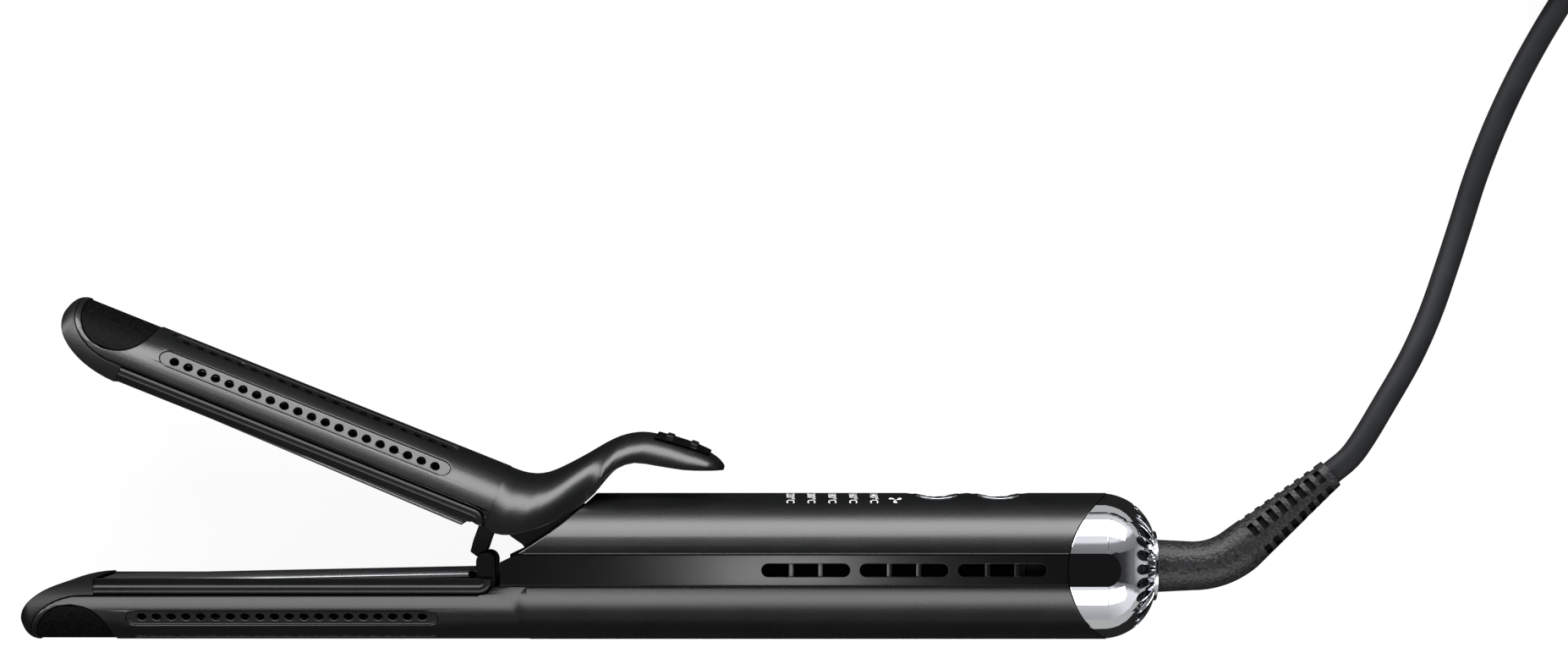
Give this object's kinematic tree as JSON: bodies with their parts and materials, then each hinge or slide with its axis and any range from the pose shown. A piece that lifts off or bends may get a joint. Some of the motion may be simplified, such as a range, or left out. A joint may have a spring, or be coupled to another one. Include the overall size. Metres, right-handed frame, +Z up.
{
  "type": "clamp hair styler with heated plates",
  "caption": "Hair styler that opens like a curling tong, with two flat heated plates inside a vented round barrel, a thumb lever, a blower handle and a swivel lead.",
  "frame": {"origin": "on the floor under the middle of the tool's own box, without its lead; the tool lies on its side on the lands beside its lower side band", "axes": "+X from the barrel's tip to the end cap, +Y from the lower barrel half towards the thumb lever, +Z up, along the clamp's hinge pin"},
  "size_m": [0.4428, 0.3059, 0.0376],
  "materials": {
    "shell_paint": "satin soft black coat",
    "soft_black": "fine moulded grain",
    "frame_black": "satin",
    "band_gloss": "polished",
    "chrome": "bright plated",
    "filter_mesh": "woven mesh",
    "chassis_plastic": "matte",
    "steel": "plain",
    "board_green": "solder mask",
    "plate_coat": "smooth ceramic coat",
    "heater_ceramic": "matte",
    "button_gloss": "polished",
    "lead_pvc": "matte",
    "nickel_pins": "nickel plated",
    "print_white": "screen print"
  },
  "bodies": {
    "handle": {"lower_shell": "shell_paint", "lower_tip_pad": "soft_black", "lower_frame": "frame_black", "upper_shell": "shell_paint", "side_bands": "band_gloss", "end_cap": "chrome", "intake_filter": "filter_mesh", "chassis": "chassis_plastic", "hinge_pin": "steel", "hinge_spring": "steel", "circuit_board": "board_green", "button_switches": "button_gloss", "fan_housing": "chassis_plastic", "fan_motor": "steel", "chassis_screws": "steel", "lower_plate_spring": "steel", "swivel_washer": "steel", "cord_run": "lead_pvc", "cord_coil": "lead_pvc", "cord_tail": "lead_pvc", "cord_tie": "lead_pvc", "plug_body": "lead_pvc", "plug_pins": "nickel_pins"},
    "clamp": {"clamp_shell": "shell_paint", "clamp_tip_pad": "soft_black", "clamp_frame": "frame_black", "clamp_yoke": "frame_black", "wire_guide": "frame_black", "thumb_pad": "soft_black", "upper_plate_spring": "steel"},
    "lower_plate": {"lower_plate": "plate_coat", "lower_heater": "heater_ceramic"},
    "upper_plate": {"upper_plate": "plate_coat", "upper_heater": "heater_ceramic"},
    "power_button": {"power_button": "button_gloss"},
    "mode_button": {"mode_button": "button_gloss"},
    "fan": {"impeller": "chassis_plastic"},
    "swivel": {"strain_relief": "soft_black"}
  },
  "joints": [
    {"name": "clamp_hinge", "type": "hinge", "parent": "handle", "child": "clamp", "pos_m": [-0.0199, -0.01686, 0.0188], "axis": [0, 0, 1], "range_deg": [0, 21.8]},
    {"name": "lower_plate_rock", "type": "hinge", "parent": "handle", "child": "lower_plate", "pos_m": [-0.1145, -0.03086, 0.0188], "axis": [0, 0, -1], "range_deg": [0, 1.2], "stiffness_Nm_per_rad": 2},
    {"name": "upper_plate_rock", "type": "hinge", "parent": "clamp", "child": "upper_plate", "pos_m": [-0.11071, 0.01084, 0.0188], "axis": [0, 0, 1], "range_deg": [0, 1.2], "stiffness_Nm_per_rad": 2},
    {"name": "power_button_press", "type": "slide", "parent": "handle", "child": "power_button", "axis": [0, -1, 0], "range_m": [0, 0.0005], "stiffness_N_per_m": 600},
    {"name": "mode_button_press", "type": "slide", "parent": "handle", "child": "mode_button", "axis": [0, -1, 0], "range_m": [0, 0.0005], "stiffness_N_per_m": 600},
    {"name": "fan_spin", "type": "hinge", "parent": "handle", "child": "fan", "pos_m": [0.0965, -0.02606, 0.0188], "axis": [1, 0, 0], "continuous": true},
    {"name": "cord_swivel", "type": "hinge", "parent": "handle", "child": "swivel", "pos_m": [0.1185, -0.02606, 0.0188], "axis": [1, 0, 0], "range_deg": [-25, 90], "deforming": ["cord_run"]}
  ],
  "couplings": [
    {"joint": "lower_plate_rock", "follows": "clamp_hinge", "ratio": 0.055046},
    {"joint": "upper_plate_rock", "follows": "clamp_hinge", "ratio": 0.055046}
  ]
}
